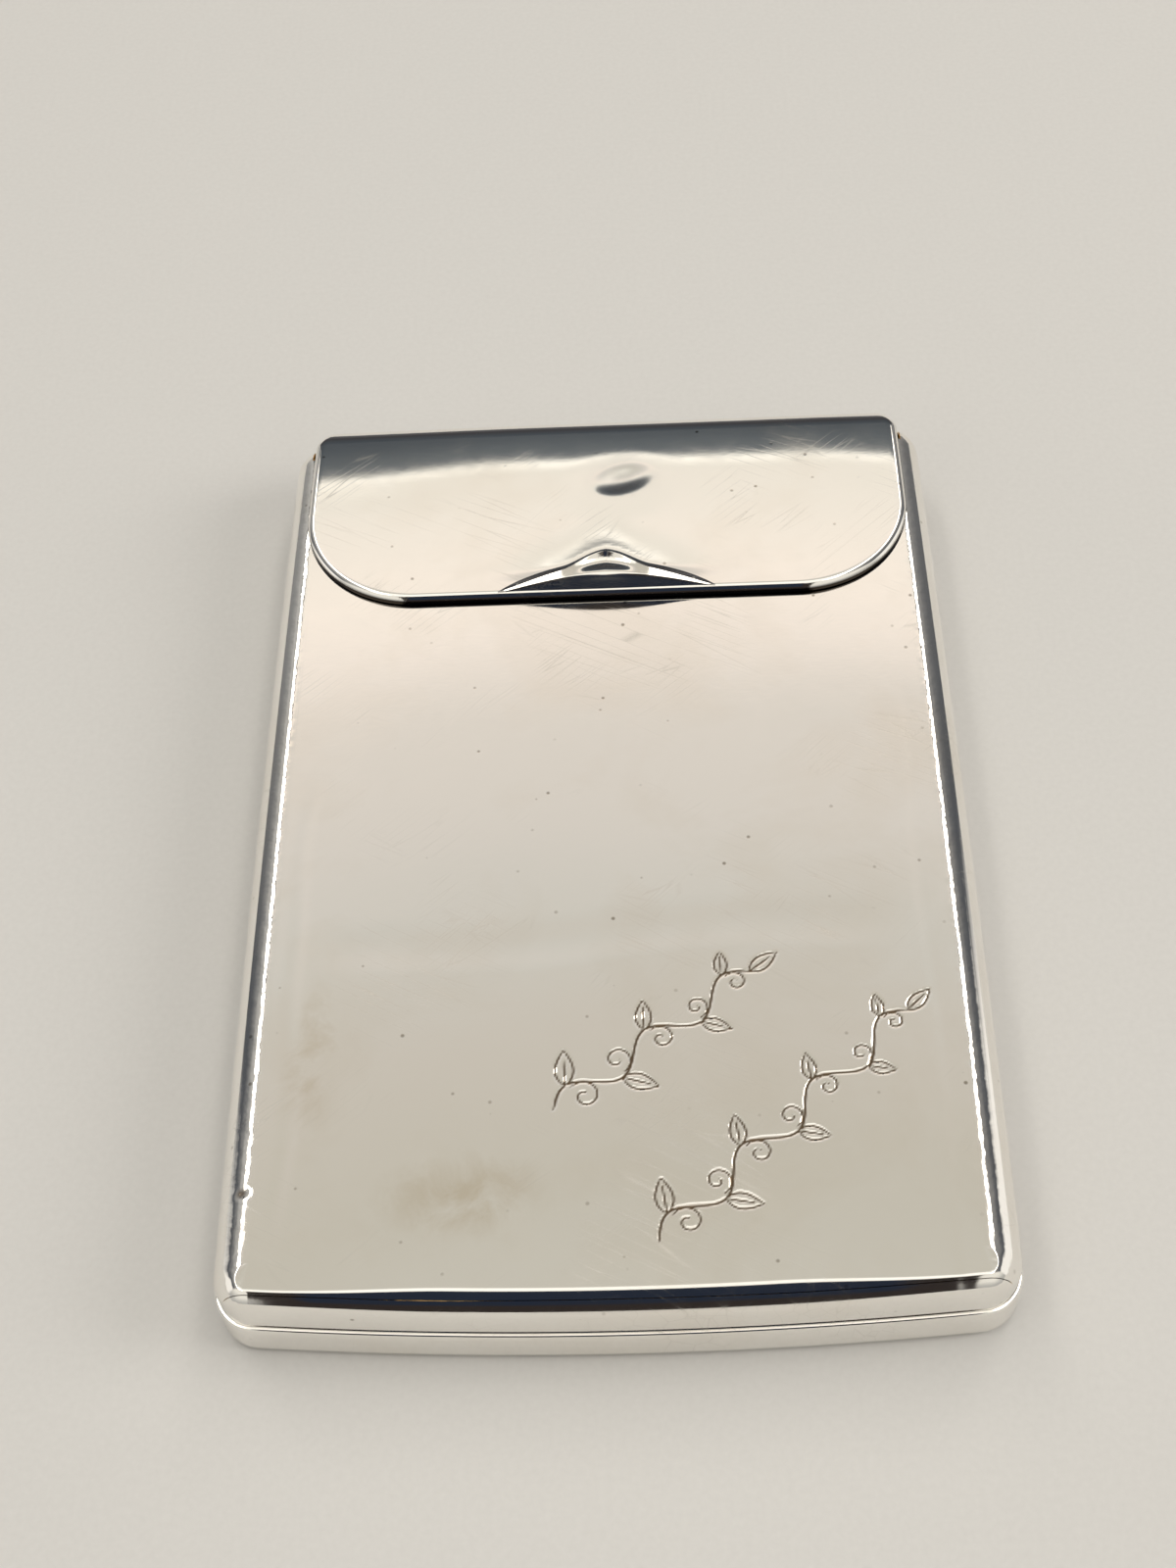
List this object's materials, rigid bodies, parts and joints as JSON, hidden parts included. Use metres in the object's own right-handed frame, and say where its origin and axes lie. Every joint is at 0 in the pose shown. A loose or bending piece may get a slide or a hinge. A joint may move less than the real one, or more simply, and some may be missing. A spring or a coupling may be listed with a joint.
{
  "type": "business card case",
  "caption": "Flat rounded pocket case for calling cards in polished silver sheet, with a hinged end lid whose flap folds over the front and a raised thumb piece.",
  "frame": {"origin": "on the flat back, at the middle of the case's length and width", "axes": "+X across the case to the right as seen from the front, +Y along its length towards the hinged lid, +Z out of the front"},
  "size_m": [0.062, 0.0942, 0.0117],
  "materials": {
    "polished_silver": "polished sterling silver, lightly worn",
    "gilt_silver": "silver with a thin worn gilt wash",
    "hinge_silver": "satin silver tube and strip",
    "pin_wire": "drawn wire"
  },
  "bodies": {
    "case_body": {"back_shell": "polished_silver", "front_shell": "polished_silver", "foot_wall": "polished_silver", "mouth_bezel": "gilt_silver", "catch_pip_left": "gilt_silver", "catch_pip_right": "gilt_silver", "body_hinge_strip": "hinge_silver", "body_knuckle_1": "hinge_silver", "body_knuckle_2": "hinge_silver", "body_knuckle_3": "hinge_silver", "body_knuckle_4": "hinge_silver", "hinge_pin": "pin_wire"},
    "lid": {"lid_shell": "polished_silver", "lid_hinge_strip": "hinge_silver", "lid_knuckle_1": "hinge_silver", "lid_knuckle_2": "hinge_silver", "lid_knuckle_3": "hinge_silver", "thumb_piece": "polished_silver"}
  },
  "joints": [
    {"name": "lid_hinge", "type": "hinge", "parent": "case_body", "child": "lid", "pos_m": [0, 0.0459, 0.001], "axis": [-1, 0, 0], "range_deg": [0, 110]}
  ]
}
